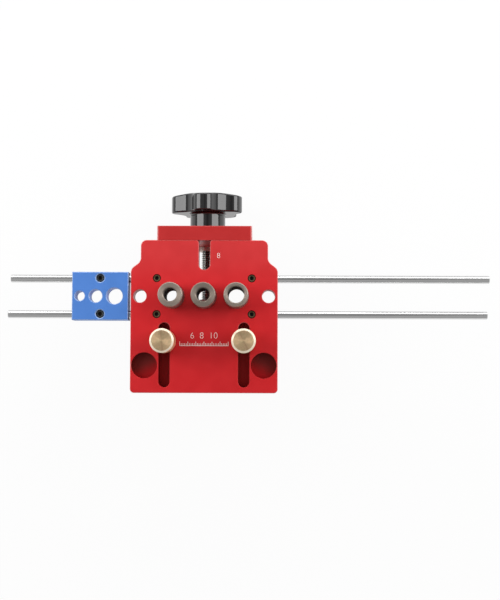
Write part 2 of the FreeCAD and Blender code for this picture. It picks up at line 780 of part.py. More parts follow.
def far_out(edge, radius):
    """True if the middle of the edge lies further than this from local Z."""
    middle = edge.valueAt((edge.FirstParameter + edge.LastParameter) / 2)
    return math.hypot(middle.x, middle.y) > radius.value + TOUCH


def fence_bottom():
    return -(d.clamp_axis_depth + d.knob_diameter / 2 + d.fence_stand)


def fence_screw_height():
    return -(d.fence_gap + d.fence_slide_thickness / 2)


def fence_screw_cone():
    return (d.fence_screw_head - d.fence_screw_diameter) / 2


def fence_joint():
    """The plane where the sliding plate meets the upright plate."""
    return -(d.fence_face + d.fence_face_thickness)


def make_fence_face_plate():
    plate = Piece("fence_face_plate")
    left, right = inside_plate(d.fence_inset)
    front = -d.fence_face
    base = plate.outline(offset=fence_bottom())
    base.rectangle(left, right, fence_joint(), front)
    plate.pad(base, -d.fence_gap - fence_bottom())
    plate.chamfer(d.edge_chamfer, lambda e: flat_at(e, "Y", front))
    holes = plate.outline("XZ_Plane", fence_joint())
    radius = d.fence_screw_diameter / 2 + d.screw_fit
    for x in inside_plate(d.fence_screw_edge):
        holes.circle(x, fence_screw_height(), radius)
    plate.cut(holes)
    plate.chamfer(
        fence_screw_cone() + d.fence_screw_sink,
        lambda e: flat_at(e, "Y", front) and near(e.BoundBox.XLength, radius * 2),
    )


def make_fence_slide_plate():
    plate = Piece("fence_slide_plate")
    left, right = inside_plate(d.fence_slide_inset)
    bottom = -(d.fence_gap + d.fence_slide_thickness)
    front = fence_joint() - d.fence_slide_depth
    base = plate.outline(offset=bottom).rectangle(left, right, front, fence_joint())
    plate.pad(base, d.fence_slide_thickness)
    plate.chamfer(d.edge_chamfer, lambda e: flat_at(e, "Y", front))
    holes = plate.outline(offset=-d.fence_gap)
    for x in inside_plate(d.slot_edge):
        radius = d.thumb_stud_diameter / 2 + d.thread_clearance
        holes.circle(x, -d.thumb_line, radius)
    plate.cut(holes)
    tapped = plate.outline("XZ_Plane", fence_joint())
    for x in inside_plate(d.fence_screw_edge):
        tapped.circle(x, fence_screw_height(), d.fence_screw_diameter / 2 + d.screw_fit)
    reach = d.fence_screw_length + d.fence_screw_sink - d.fence_face_thickness
    plate.cut(tapped, reach + OVERSHOOT, backwards=True)


def make_fence_screw(label, x):
    """A countersunk screw, its head flush in the face of the fence at local Z = 0."""
    place = (x, -(d.fence_face + d.fence_screw_sink), fence_screw_height())
    screw = Piece(label, place, ALONG_Y)
    shank, head = d.fence_screw_diameter / 2, d.fence_screw_head / 2
    screw.revolve(
        [
            (0, -d.fence_screw_length),
            (shank - d.edge_chamfer, -d.fence_screw_length),
            (shank, d.edge_chamfer - d.fence_screw_length),
            (shank, -fence_screw_cone()),
            (head, 0),
            (0, 0),
        ]
    )
    screw.cut(screw.outline().hexagon(d.fence_screw_key), d.fence_screw_key_depth)


def washer_top():
    return d.plate_thickness + d.washer_gap + d.washer_thickness


def make_thumb_screw(side, x):
    """Washer, steel stud and brass head of one thumb screw."""
    seat = (x, -d.thumb_line, d.plate_thickness + d.washer_gap)
    washer = Piece(f"thumb_screw_washer_{side}", seat)
    ring = washer.outline().circle(0, 0, d.washer_diameter / 2)
    ring.circle(0, 0, d.thumb_stud_diameter / 2 + d.washer_clearance)
    washer.pad(ring, d.washer_thickness)

    foot = washer_top() + d.washer_gap
    head = Piece(f"thumb_screw_head_{side}", (x, -d.thumb_line, foot))
    bore = d.thumb_stud_diameter / 2 + d.moulded_gap
    outside, height = d.thumb_head_diameter / 2, d.thumb_head_height
    bore_end = d.thumb_stud_grip + d.moulded_gap
    head.revolve(
        [
            (bore, 0),
            (outside - d.thumb_head_foot, 0),
            (outside, d.thumb_head_foot),
            (outside, height - d.thumb_head_chamfer),
            (outside - d.thumb_head_chamfer, height),
            (0, height),
            (0, bore_end),
            (bore, bore_end),
        ]
    )

    tip = d.thumb_stud_margin - d.fence_gap - d.fence_slide_thickness
    stud = Piece(f"thumb_screw_stud_{side}", (x, -d.thumb_line, tip))
    radius, length = d.thumb_stud_diameter / 2, foot + d.thumb_stud_grip - tip
    stud.revolve(
        [
            (0, 0),
            (radius - d.thumb_stud_point, 0),
            (radius, d.thumb_stud_point),
            (radius, length),
            (0, length),
        ]
    )


def check_document():
    """Stops if an object has failed or a piece is not one valid solid."""
    doc.recompute()
    for item in doc.Objects:
        if {"Invalid", "Error"} & set(item.State):
            raise RuntimeError(f"{item.Name} has failed: {item.State}")
    for piece in pieces:
        shape = piece.body.Shape
        if shape.isNull() or not shape.isValid() or len(shape.Solids) != 1:
            raise RuntimeError(f"{piece.body.Label} is not one valid solid")


doc = FreeCAD.newDocument("DowellingJig")
pieces = []
d = make_sheet(doc)

left_bush, right_bush = -d.bush_spacing, d.bush_spacing
left_screw, right_screw = inside_plate(d.lock_screw_edge)
front_rod, rear_rod = both_sides(d.rod_spacing)

make_guide_plate()
make_bush("bush_left_8mm", left_bush, d.medium_dowel)
make_bush("bush_centre_8mm", 0, d.medium_dowel)
make_bush("bush_right_10mm", right_bush, d.large_dowel)
make_lock_screw("rod_lock_screw_rear_left", left_screw, rear_rod)
make_lock_screw("rod_lock_screw_rear_right", right_screw, rear_rod)
make_lock_screw("rod_lock_screw_front_left", left_screw, front_rod)
make_lock_screw("rod_lock_screw_front_right", right_screw, front_rod)
make_rod("guide_rod_rear", d.rear_rod_centre, rear_rod)
make_rod("guide_rod_front", d.front_rod_centre, front_rod)
make_stop_block()
make_rear_plate()
for side, x in zip(("left", "right"), both_sides(d.cap_screw_spacing)):
    make_cap_screw(f"rear_plate_screw_{side}", x)
make_insert()
make_clamp_screw()
make_star_knob()
make_clamp_pad()
make_clip()
make_fence_slide_plate()
make_fence_face_plate()
for side, x in zip(("left", "right"), inside_plate(d.fence_screw_edge)):
    make_fence_screw(f"fence_face_screw_{side}", x)
for side, x in zip(("left", "right"), inside_plate(d.slot_edge)):
    make_thumb_screw(side, x)

check_document()
os.makedirs("parts", exist_ok=True)
for piece in pieces:
    piece.body.Shape.exportStep(f"parts/{piece.body.Label}.step")
    box = piece.body.Shape.BoundBox
    print(
        f"{piece.body.Label:30s} X {box.XMin:8.2f} {box.XMax:8.2f}"
        f"  Y {box.YMin:8.2f} {box.YMax:8.2f}  Z {box.ZMin:8.2f} {box.ZMax:8.2f}"
    )
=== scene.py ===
"""Looks of the dowelling jig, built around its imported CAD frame. Lengths are in metres."""

import math

import bmesh
import bpy
from mathutils import Matrix, Vector


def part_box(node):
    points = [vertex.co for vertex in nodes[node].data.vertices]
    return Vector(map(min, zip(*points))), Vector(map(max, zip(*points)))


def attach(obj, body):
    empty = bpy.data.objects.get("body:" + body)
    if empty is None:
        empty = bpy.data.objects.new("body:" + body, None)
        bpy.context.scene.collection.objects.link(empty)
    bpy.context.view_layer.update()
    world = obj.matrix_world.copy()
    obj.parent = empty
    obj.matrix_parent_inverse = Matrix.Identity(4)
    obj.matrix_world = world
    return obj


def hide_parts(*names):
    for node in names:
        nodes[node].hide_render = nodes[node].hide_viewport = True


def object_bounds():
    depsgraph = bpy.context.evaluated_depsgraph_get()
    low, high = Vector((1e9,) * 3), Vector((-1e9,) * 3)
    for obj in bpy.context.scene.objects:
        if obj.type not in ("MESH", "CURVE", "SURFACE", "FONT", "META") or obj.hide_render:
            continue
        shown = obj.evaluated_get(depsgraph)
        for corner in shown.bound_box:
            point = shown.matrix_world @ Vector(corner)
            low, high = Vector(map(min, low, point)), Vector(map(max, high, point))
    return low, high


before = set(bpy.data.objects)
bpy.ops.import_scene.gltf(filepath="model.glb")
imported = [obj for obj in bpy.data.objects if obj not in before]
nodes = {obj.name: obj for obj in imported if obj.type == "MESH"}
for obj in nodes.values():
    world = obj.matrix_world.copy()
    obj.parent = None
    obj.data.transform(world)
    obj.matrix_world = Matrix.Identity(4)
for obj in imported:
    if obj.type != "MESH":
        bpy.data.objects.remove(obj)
cad_low, cad_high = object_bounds()

MM = 0.001
TURN = 2 * math.pi
ALONG_Y = Matrix.Rotation(-math.pi / 2, 4, "X")  # turns local +Z to +Y

# What the looks need to know of the CAD part, besides the boxes of its nodes.
BUSH_RADIUS = 7.5 * MM
POCKET_X, POCKET_Y, POCKET_RADIUS = 37.0 * MM, 43.0 * MM, 8.0 * MM
CLAMP_AXIS = (0, 0, -36 * MM)
CLAMP_PITCH, STUD_PITCH, GRUB_PITCH = 1.25 * MM, 1.0 * MM, 0.8 * MM
THREAD_DEPTH = 0.6134  # of an outer metric thread, over its pitch

# Shade of the ceiling that gloss shows, from the horizon (0) to straight overhead (1).
CEILING = ((0.06, 0.50), (0.24, 0.40), (0.90, 0.50), (0.975, 0.38))
HORIZON_SHADE, OVERHEAD_SHADE, OVERHEAD_FROM = 0.85, 0.12, 0.995
AMBIENT = 0.30  # light from all round on the jig, while the background itself shows white
FLOOR_GLOW = 0.93  # share of plain white in what the camera sees of the table


# ---------------------------------------------------------------- camera, light and floor


def make_camera():
    """The photograph's viewpoint, found by fitting known points of the jig to it."""
    data = bpy.data.cameras.new("camera")
    data.lens = 67.518
    data.sensor_width = 36.0
    data.clip_start, data.clip_end = 0.01, 50.0
    camera = bpy.data.objects.new("camera", data)
    camera.location = (0.0315, -0.04283, 0.70925)
    camera.rotation_euler = [math.radians(a) for a in (3.329, 0.239, 0.191)]
    bpy.context.scene.collection.objects.link(camera)
    bpy.context.scene.camera = camera
    bpy.context.scene.view_settings.view_transform = "Standard"


def make_softbox(name, place, size, radiance):
    """A rectangular lamp that faces the jig. A mirror would show it at the given radiance."""
    data = bpy.data.lights.new(name, "AREA")
    data.shape = "RECTANGLE"
    data.size, data.size_y = size
    data.energy = radiance * math.pi * size[0] * size[1]
    lamp = bpy.data.objects.new(name, data)
    lamp.location = place
    lamp.rotation_euler = (-Vector(place)).to_track_quat("-Z", "Y").to_euler()
    lamp.visible_camera = False
    bpy.context.scene.collection.objects.link(lamp)


def grey(shade):
    return (shade, shade, shade, 1)


def add_seen_ray(tree):
    """1 for rays that show the background: those of the camera, of gloss and of glass."""
    path = tree.nodes.new("ShaderNodeLightPath")
    seen = None
    for ray in ("Is Camera Ray", "Is Glossy Ray", "Is Transmission Ray"):
        if seen is None:
            seen = path.outputs[ray]
            continue
        add = tree.nodes.new("ShaderNodeMath")
        add.operation = "ADD"
        add.use_clamp = True
        tree.links.new(seen, add.inputs[0])
        tree.links.new(path.outputs[ray], add.inputs[1])
        seen = add.outputs[0]
    return seen, path


def make_world():
    """Even light from all round. Gloss shows a white room with a darker ceiling."""
    world = bpy.data.worlds.new("studio")
    bpy.context.scene.world = world
    world.use_nodes = True
    tree = world.node_tree
    background = tree.nodes["Background"]
    place = tree.nodes.new("ShaderNodeTexCoord")
    split = tree.nodes.new("ShaderNodeSeparateXYZ")
    tree.links.new(place.outputs["Generated"], split.inputs[0])
    ceiling = tree.nodes.new("ShaderNodeValToRGB")
    stops = ceiling.color_ramp.elements
    stops[0].position, stops[0].color = 0.0, grey(HORIZON_SHADE)
    stops[1].position, stops[1].color = OVERHEAD_FROM, grey(OVERHEAD_SHADE)
    for position, shade in CEILING:
        stops.new(position).color = grey(shade)
    tree.links.new(split.outputs["Z"], ceiling.inputs["Fac"])
    seen, path = add_seen_ray(tree)
    colour = tree.nodes.new("ShaderNodeMix")
    colour.data_type = "RGBA"
    colour.inputs["A"].default_value = grey(1)
    tree.links.new(path.outputs["Is Glossy Ray"], colour.inputs["Factor"])
    tree.links.new(ceiling.outputs["Color"], colour.inputs["B"])
    tree.links.new(colour.outputs["Result"], background.inputs["Color"])
    strength = tree.nodes.new("ShaderNodeMapRange")
    strength.inputs["To Min"].default_value = AMBIENT
    strength.inputs["To Max"].default_value = 1.0
    tree.links.new(seen, strength.inputs["Value"])
    tree.links.new(strength.outputs["Result"], background.inputs["Strength"])


def make_floor():
    """A plain white table that the jig stands on. It keeps a faint shadow."""
    half = 4.0
    gap = 0.05 * MM
    height = cad_low.z - gap
    mesh = bpy.data.meshes.new("floor")
    corners = [(-half, -half), (half, -half), (half, half), (-half, half)]
    mesh.from_pydata([(x, y, height) for x, y in corners], [], [(0, 1, 2, 3)])
    floor = bpy.data.objects.new("floor", mesh)
    bpy.context.scene.collection.objects.link(floor)
    material = bpy.data.materials.new("white_table")
    material.use_nodes = True
    tree = material.node_tree
    shader = tree.nodes["Principled BSDF"]
    shader.inputs["Base Color"].default_value = grey(0.8)
    shader.inputs["Roughness"].default_value = 0.9
    glow = tree.nodes.new("ShaderNodeEmission")
    glow.inputs["Color"].default_value = grey(1)
    glow.inputs["Strength"].default_value = 1.0
    share = tree.nodes.new("ShaderNodeMath")
    share.operation = "MULTIPLY"
    share.inputs[1].default_value = FLOOR_GLOW
    seen, _ = add_seen_ray(tree)
    tree.links.new(seen, share.inputs[0])
    mix = tree.nodes.new("ShaderNodeMixShader")
    tree.links.new(share.outputs[0], mix.inputs[0])
    tree.links.new(shader.outputs[0], mix.inputs[1])
    tree.links.new(glow.outputs[0], mix.inputs[2])
    tree.links.new(mix.outputs[0], tree.nodes["Material Output"].inputs["Surface"])
    mesh.materials.append(material)


def make_studio():
    make_camera()
    make_world()
    make_softbox("left_light", (-0.68, 0.20, 0.56), (0.5, 0.745), 3.9)
    make_softbox("right_light", (0.72, 0.20, 0.54), (0.5, 0.764), 3.9)
    make_softbox("rear_light", (0.03, 0.58, 0.33), (1.0, 0.2), 4.6)
    make_floor()


# ---------------------------------------------------------------- finishes


class Finish:
    """A material in the making, with short calls that add to its nodes.

    Colours are linear red, green and blue. A share is a number or an output from 0 to 1.
    """

    def __init__(self, name, colour, metallic, roughness, **sockets):
        self.material = bpy.data.materials.new(name)
        self.material.use_nodes = True
        self.tree = self.material.node_tree
        self.shader = self.tree.nodes["Principled BSDF"]
        self.shader.inputs["Base Color"].default_value = (*colour, 1)
        self.shader.inputs["Metallic"].default_value = metallic
        self.shader.inputs["Roughness"].default_value = roughness
        for socket, value in sockets.items():
            self.shader.inputs[socket.replace("_", " ")].default_value = value
        self.place = self.tree.nodes.new("ShaderNodeTexCoord")
        self.colour = (*colour, 1)  # or the output that gives it, after the first change

    def node(self, kind, **settings):
        made = self.tree.nodes.new(kind)
        for key, value in settings.items():
            setattr(made, key, value)
        return made

    def feed(self, socket, value):
        """Links an output to the socket, or sets it to a number."""
        if isinstance(value, bpy.types.NodeSocket):
            self.tree.links.new(value, socket)
        else:
            socket.default_value = value

    def math(self, operation, first, second=0.0, clamp=False):
        made = self.node("ShaderNodeMath", operation=operation, use_clamp=clamp)
        self.feed(made.inputs[0], first)
        self.feed(made.inputs[1], second)
        return made.outputs[0]

    def between(self, value, low, high, to_low=0.0, to_high=1.0):
        """A smooth step from one level to another."""
        made = self.node("ShaderNodeMapRange", interpolation_type="SMOOTHSTEP")
        self.feed(made.inputs["Value"], value)
        made.inputs["From Min"].default_value = low
        made.inputs["From Max"].default_value = high
        made.inputs["To Min"].default_value = to_low
        made.inputs["To Max"].default_value = to_high
        return made.outputs["Result"]

    def moved(self, centre=(0, 0, 0), stretch=(1, 1, 1)):
        """The piece's own coordinates, measured from a point and stretched."""
        made = self.node("ShaderNodeVectorMath", operation="SUBTRACT")
        self.feed(made.inputs[0], self.place.outputs["Object"])
        made.inputs[1].default_value = centre
        scaled = self.node("ShaderNodeVectorMath", operation="MULTIPLY")
        self.feed(scaled.inputs[0], made.outputs[0])
        scaled.inputs[1].default_value = stretch
        return scaled.outputs[0]

    def split(self, vector):
        """The three numbers of a vector, by axis name."""
        made = self.node("ShaderNodeSeparateXYZ")
        self.feed(made.inputs[0], vector)
        return made.outputs

    def noise(self, size, detail=2.0, vector=None):
        """Noise with features of about the given size, from 0 to 1."""
        made = self.node("ShaderNodeTexNoise")
        made.inputs["Scale"].default_value = 1 / size
        made.inputs["Detail"].default_value = detail
        self.feed(made.inputs["Vector"], vector or self.place.outputs["Object"])
        return made.outputs["Fac"]

    def round_axis(self, centre, axis):
        """Distance from an axis, and a vector of that and the place along it for a noise."""
        place = self.split(self.moved(centre))
        across = [name for name in "XYZ" if name != axis]
        squares = [self.math("POWER", place[name], 2.0) for name in across]
        radius = self.math("SQRT", self.math("ADD", *squares))
        joined = self.node("ShaderNodeCombineXYZ")
        self.feed(joined.inputs["X"], radius)
        self.feed(joined.inputs["Y"], place[axis])
        return radius, joined.outputs[0]

    def spot(self):
        """The place on the piece, by axis name."""
        return self.split(self.place.outputs["Object"])

    def slope(self):
        """1 on faces at a slant, such as chamfers, in the piece's own frame."""
        steep, flat = 0.3, 0.93
        upright = self.math("ABSOLUTE", self.split(self.place.outputs["Normal"])["Z"])
        return self.math(
            "MULTIPLY",
            self.math("GREATER_THAN", upright, steep),
            self.math("LESS_THAN", upright, flat),
        )

    def tint(self, share, colour, blend="MIX"):
        """Mixes a colour over the base colour by the share."""
        mix = self.node("ShaderNodeMix", data_type="RGBA", blend_type=blend)
        self.feed(mix.inputs["Factor"], share)
        self.feed(mix.inputs["A"], self.colour)
        self.feed(mix.inputs["B"], (*colour, 1))
        self.colour = mix.outputs["Result"]
        self.feed(self.shader.inputs["Base Color"], self.colour)

    def darken(self, share, depth):
        """Makes the colour darker by up to the depth where the share is 1."""
        scale = self.node("ShaderNodeVectorMath", operation="SCALE")
        plain = isinstance(self.colour, tuple)
        self.feed(scale.inputs[0], self.colour[:3] if plain else self.colour)
        self.feed(scale.inputs["Scale"], self.between(share, 0, 1, 1.0, 1.0 - depth))
        self.colour = scale.outputs[0]
        self.feed(self.shader.inputs["Base Color"], self.colour)

    def roughness(self, value):
        self.feed(self.shader.inputs["Roughness"], value)

    def bump(self, height, distance, strength=1.0):
        made = self.node("ShaderNodeBump")
        made.inputs["Strength"].default_value = strength
        made.inputs["Distance"].default_value = distance
        self.feed(made.inputs["Height"], height)
        if self.shader.inputs["Normal"].is_linked:
            self.feed(made.inputs["Normal"], self.shader.inputs["Normal"].links[0].from_socket)
        self.feed(self.shader.inputs["Normal"], made.outputs[0])

    def brush_round(self, share):
        """Stretches the gloss across fine lines that run round the piece's own Z axis."""
        tangent = self.node("ShaderNodeTangent", direction_type="RADIAL", axis="Z")
        quarter_turn = 0.25
        self.feed(self.shader.inputs["Tangent"], tangent.outputs[0])
        self.shader.inputs["Anisotropic"].default_value = share
        self.shader.inputs["Anisotropic Rotation"].default_value = quarter_turn


def make_anodised(name, colour, edge_colour, edge_share=None):
    """Bead-blasted, dyed aluminium with lighter edges, partly wear and partly painted highlight on
    the chamfers, by the share that a given function gives.
    """
    roughness = 0.4
    finish = Finish(name, colour, 0.3, roughness, Specular_IOR_Level=0.3)
    finish.darken(finish.noise(30 * MM, 1.0), 0.08)
    finish.darken(finish.noise(0.25 * MM, 2.0), 0.10)
    wear_and_sheen = finish.between(finish.noise(1.5 * MM, 3.0), 0.3, 0.7, 0.35, 0.8)
    edges = finish.math("MULTIPLY", finish.slope(), wear_and_sheen)
    if edge_share:
        edges = finish.math("MULTIPLY", edges, edge_share(finish))
    # Lighter chamfers: partly wear, partly painted highlight.
    finish.tint(edges, edge_colour)
    finish.roughness(
        finish.between(finish.noise(9 * MM, 3.0), 0.3, 0.7, roughness - 0.04, roughness + 0.05)
    )
    finish.bump(finish.noise(0.18 * MM, 2.0), 0.02 * MM, 0.5)
    return finish


def outer_edges(finish):
    """Near 1 along the guide plate's outer sides, and low at its slots and pockets."""
    low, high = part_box("guide_plate")
    slots_end = -20 * MM
    least = 0.12
    place = finish.spot()
    across = finish.math("ABSOLUTE", place["X"])
    beside = finish.between(across, high.x - 1.2 * MM, high.x - 0.8 * MM)
    behind = finish.between(place["Y"], slots_end, slots_end + 1 * MM)
    before = finish.between(place["Y"], low.y + 0.7 * MM, low.y + 1.0 * MM, 1.0, 0.0)
    outside = finish.math("MAXIMUM", finish.math("MAXIMUM", beside, behind), before)
    return finish.math("MAXIMUM", outside, least)


def bar_ends(finish):
    """Near 1 at the two ends of the rear plate, and low along its long edges."""
    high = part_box("rear_clamp_plate")[1]
    least = 0.15
    across = finish.math("ABSOLUTE", finish.spot()["X"])
    ends = finish.between(across, high.x - 0.6 * MM, high.x - 0.4 * MM)
    return finish.math("MAXIMUM", ends, least)


def make_plate_finish():
    """The guide plate's red, with painted sheen towards the rear and painted shade below its top.
    """
    red, edge = (0.70, 0.018, 0.023), (0.78, 0.20, 0.19)
    painted_rear_sheen, painted_recess_shade = (0.0, 0.018, 0.016), (0.34, 0.002, 0.003)
    finish = make_anodised("red_anodised_plate", red, edge, edge_share=outer_edges)
    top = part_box("guide_plate")[1].z
    place = finish.spot()
    # Painted sheen: the red grows lighter towards the rear.
    rear = finish.between(place["Y"], 2 * MM, 30 * MM)
    finish.tint(rear, painted_rear_sheen, "ADD")
    # Painted shade: slots and pockets darker below the top face.
    sunk = finish.between(place["Z"], top - 1.2 * MM, top - 0.6 * MM, 1.0, 0.0)
    finish.tint(finish.math("MULTIPLY", sunk, 0.85), painted_recess_shade)
    tint_pockets(finish, sunk)
    return finish


def tint_pockets(finish, sunk):
    """The storage pockets: rings of the mill, with painted shadow at the rear and painted light
    towards the front.
    """
    painted_pocket_shadow, painted_pocket_light = (0.19, 0.012, 0.009), (0.46, 0.003, 0.006)
    edge = POCKET_RADIUS + 0.1 * MM
    mirrored = finish.node("ShaderNodeVectorMath", operation="ABSOLUTE")
    finish.feed(mirrored.inputs[0], finish.place.outputs["Object"])
    offset = finish.node("ShaderNodeVectorMath", operation="SUBTRACT")
    finish.feed(offset.inputs[0], mirrored.outputs[0])
    offset.inputs[1].default_value = (POCKET_X, POCKET_Y, 0)
    place = finish.split(offset.outputs[0])
    squares = [finish.math("POWER", place[axis], 2.0) for axis in "XY"]
    radius = finish.math("SQRT", finish.math("ADD", *squares))
    joined = finish.node("ShaderNodeCombineXYZ")
    finish.feed(joined.inputs["X"], radius)
    rings = finish.noise(0.5 * MM, 2.0, joined.outputs[0])
    finish.bump(finish.math("MULTIPLY", rings, sunk), 0.03 * MM)
    in_pocket = finish.between(radius, edge, edge + 0.1 * MM, 1.0, 0.0)
    inside = finish.math("MULTIPLY", sunk, in_pocket)
    # Painted shadow over the pocket floor, with painted light towards its front.
    finish.tint(finish.math("MULTIPLY", inside, 0.9), painted_pocket_shadow)
    forward = finish.math("SUBTRACT", place["Y"], finish.math("MULTIPLY", place["X"], 0.5))
    bright = finish.between(forward, -2.5 * MM, 7.5 * MM)
    finish.tint(finish.math("MULTIPLY", inside, bright), painted_pocket_light)


def make_turned(name, colour, centre, axis, roughness):
    """Metal that was turned or ground round an axis, with fine lines round it."""
    finish = Finish(name, colour, 1.0, roughness)
    _, lines = finish.round_axis(centre, axis)
    cut = finish.noise(0.12 * MM, 3.0, lines)
    finish.darken(cut, 0.25)
    finish.darken(finish.noise(4 * MM, 3.0), 0.12)
    finish.roughness(finish.between(cut, 0.3, 0.7, roughness - 0.05, roughness + 0.08))
    finish.bump(cut, 0.01 * MM)
    return finish


def make_bush_finish(name, x, bore, steel):
    """Ground steel, with painted shade on its sides and in its bore of the given radius."""
    painted_side_shade, painted_bore_shade = (0.36, 0.315, 0.28), (0.15, 0.118, 0.095)
    finish = make_turned(name + "_steel", steel, (x, 0, 0), "Z", 0.40)
    radius, _ = finish.round_axis((x, 0, 0), "Z")
    inside = finish.between(radius, bore + 0.08 * MM, bore + 0.14 * MM, 1.0, 0.0)
    # Painted shade on the outer side.
    finish.tint(finish.between(radius, BUSH_RADIUS - 0.2 * MM, BUSH_RADIUS - 0.1 * MM), painted_side_shade)
    # Painted shade darkens the bore.
    finish.tint(inside, painted_bore_shade)
    finish.feed(finish.shader.inputs["Metallic"], finish.math("SUBTRACT", 1.0, inside))
    plain = finish.shader.inputs["Roughness"].links[0].from_socket
    rougher = finish.math("MULTIPLY", inside, 0.4)
    finish.roughness(finish.math("ADD", plain, rougher, clamp=True))
    finish.brush_round(0.55)
    return finish


def make_thread_metal(name, radius, pitch):
    """Zinc plated thread, darkened in its roots by painted shade."""
    finish = make_turned(name, (0.66, 0.65, 0.62), (0, 0, 0), "Z", 0.27)
    out, _ = finish.round_axis((0, 0, 0), "Z")
    root = thread_root(radius, pitch)
    low = finish.between(out, root + 0.1 * MM, radius - 0.1 * MM, 1.0, 0.0)
    on_thread = finish.between(out, root - 0.2 * MM, root - 0.1 * MM)
    # Painted shade in the thread's roots.
    finish.darken(finish.math("MULTIPLY", low, on_thread), 0.8)
    return finish


def streak(finish, direction, sharpness):
    """1 on a line through the middle of a turned face that widens outwards, at an angle to X."""
    flat = finish.moved(stretch=(1, 1, 0))
    across = finish.node("ShaderNodeVectorMath", operation="DOT_PRODUCT")
    finish.feed(across.inputs[0], flat)
    across.inputs[1].default_value = (-math.sin(direction), math.cos(direction), 0)
    reach = finish.node("ShaderNodeVectorMath", operation="LENGTH")
    finish.feed(reach.inputs[0], flat)
    turned = finish.math("DIVIDE", across.outputs["Value"], reach.outputs["Value"])
    return finish.between(finish.math("ABSOLUTE", turned), 0.0, sharpness, 1.0, 0.0)


def make_brass(height):
    """Turned brass, with a painted dark streak across its face and a painted highlight on the ring
    where the face at that height is chamfered.
    """
    brass, stained, painted_streak_shade = (1.0, 0.70, 0.41), (0.62, 0.50, 0.28), (0.60, 0.36, 0.22)
    painted_ring_highlight = (1.0, 0.87, 0.68)
    finish = make_turned("turned_brass", brass, (0, 0, 0), "Z", 0.36)
    finish.darken(finish.between(finish.noise(1.6 * MM, 2.0), 0.4, 0.6), 0.12)
    stain = finish.between(finish.noise(5 * MM, 2.0), 0.42, 0.62, 0.0, 0.5)
    finish.tint(stain, stained)
    # Painted shade: a dark streak across the turned face.
    painted_streak = streak(finish, math.radians(-64), 0.24)
    finish.tint(finish.math("MULTIPLY", painted_streak, 0.6), painted_streak_shade)
    level = finish.spot()["Z"]
    at_top = finish.between(level, height - 1.5 * MM, height - 1.3 * MM)
    ring = finish.math("MULTIPLY", finish.slope(), at_top)
    # Painted highlight: a pale, less metallic ring on the chamfer.
    finish.tint(ring, painted_ring_highlight)
    finish.feed(finish.shader.inputs["Metallic"], finish.between(ring, 0.0, 1.0, 1.0, 0.35))
    finish.brush_round(0.6)
    return finish


def make_drawn(name, colour, roughness):
    """Bright drawn rod, with faint lines along X."""
    finish = Finish(name, colour, 1.0, roughness)
    lines = finish.noise(0.12 * MM, 2.0, finish.moved(stretch=(0.01, 1, 1)))
    finish.darken(lines, 0.10)
    finish.darken(finish.noise(12 * MM, 3.0), 0.06)
    finish.roughness(finish.between(lines, 0.3, 0.7, roughness - 0.03, roughness + 0.05))
    finish.bump(lines, 0.004 * MM)
    return finish


def make_black_oxide(name):
    """Blackened steel with rubbed edges."""
    black, rubbed = (0.018, 0.017, 0.016), (0.10, 0.095, 0.085)
    finish = Finish(name, black, 0.6, 0.42)
    finish.darken(finish.noise(0.6 * MM, 3.0), 0.4)
    finish.tint(finish.math("MULTIPLY", finish.slope(), 0.5), rubbed)
    finish.bump(finish.noise(0.15 * MM, 2.0), 0.015 * MM)
    return finish


def make_grub_finish(name, height, rubbed):
    """Blackened steel, with the flat ring at the screw's top tinted another colour: some rubbed
    wear and painted reflection of the part around it.
    """
    finish = Finish(name, (0.014, 0.012, 0.010), 0.7, 0.45)
    finish.darken(finish.noise(0.6 * MM, 3.0), 0.4)
    on_top = finish.between(finish.spot()["Z"], height - 0.2 * MM, height - 0.05 * MM)
    wear_and_sheen = finish.between(finish.noise(0.5 * MM, 3.0), 0.3, 0.7, 0.5, 1.0)
    # Rubbed wear with painted reflection on the top ring.
    finish.tint(finish.math("MULTIPLY", on_top, wear_and_sheen), rubbed)
    finish.bump(finish.noise(0.15 * MM, 2.0), 0.015 * MM)
    return finish


def make_moulded(name):
    """Glossy black plastic with a slight ripple of the mould, and a duller underside."""
    finish = Finish(name, (0.008, 0.008, 0.009), 0.0, 0.04)
    finish.shader.inputs["Coat Roughness"].default_value = 0.03
    facing = finish.split(finish.place.outputs["Normal"])["Y"]
    gloss = finish.between(facing, -0.8, -0.5)
    finish.feed(finish.shader.inputs["Specular IOR Level"], finish.between(gloss, 0, 1, 0.08, 0.6))
    finish.feed(finish.shader.inputs["Coat Weight"], finish.between(gloss, 0, 1, 0.0, 0.35))
    finish.darken(finish.noise(2 * MM, 3.0), 0.3)
    scratches = finish.noise(0.1 * MM, 2.0, finish.moved(stretch=(1, 0.03, 1)))
    finish.roughness(finish.between(scratches, 0.4, 0.8, 0.03, 0.08))
    finish.bump(finish.noise(2.5 * MM, 1.0), 0.004 * MM)
    return finish


def make_print():
    """White ink, a little thin in places."""
    finish = Finish("white_ink", (0.90, 0.84, 0.80), 0.0, 0.55)
    finish.darken(finish.noise(0.5 * MM, 3.0), 0.12)
    finish.bump(finish.noise(0.2 * MM, 2.0), 0.01 * MM)
    return finish


def dress(finish, *names):
    """Puts a finish on CAD nodes, or on pieces made here."""
    for name in names:
        piece = name if isinstance(name, bpy.types.Object) else nodes[name]
        piece.data.materials.clear()
        piece.data.materials.append(finish.material)


# ---------------------------------------------------------------- meshes


def add_piece(name, mesh, matrix, body, slot, *replaced):
    piece = bpy.data.objects.new(name, mesh)
    piece.matrix_world = matrix
    bpy.context.scene.collection.objects.link(piece)
    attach(piece, body)
    if replaced:
        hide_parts(*replaced)
    return piece


